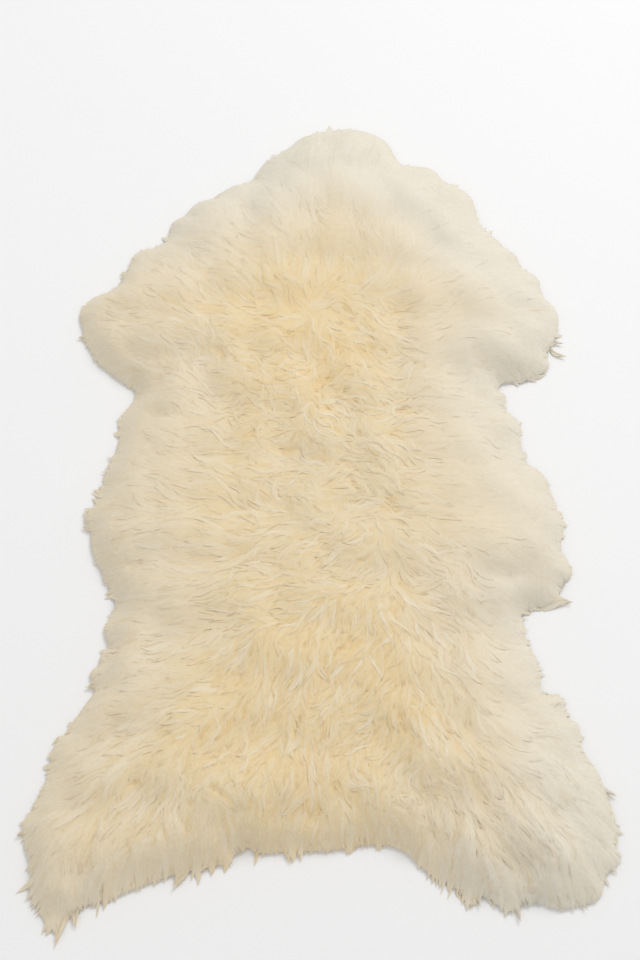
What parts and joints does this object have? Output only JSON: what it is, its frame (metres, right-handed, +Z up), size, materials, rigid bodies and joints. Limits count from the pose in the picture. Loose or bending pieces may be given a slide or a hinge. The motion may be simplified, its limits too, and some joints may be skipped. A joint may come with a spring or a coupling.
{
  "type": "sheepskin rug",
  "caption": "Long sheepskin rug in the natural outline of the skin, lying flat: a tanned skin under deep, curly, cream wool with a ragged rim.",
  "frame": {"origin": "on the floor, under the middle of the rug's bounding box", "axes": "+Y from the hind legs to the neck, +X to the right seen from above with the neck at the top, +Z up out of the wool"},
  "size_m": [0.685, 1.1236, 0.0541],
  "materials": {
    "skin": "undyed suede, matt",
    "wool": "long natural wool, cream, matt with a faint sheen"
  },
  "bodies": {
    "root": {"hide": "skin", "fleece": "wool"}
  },
  "joints": []
}
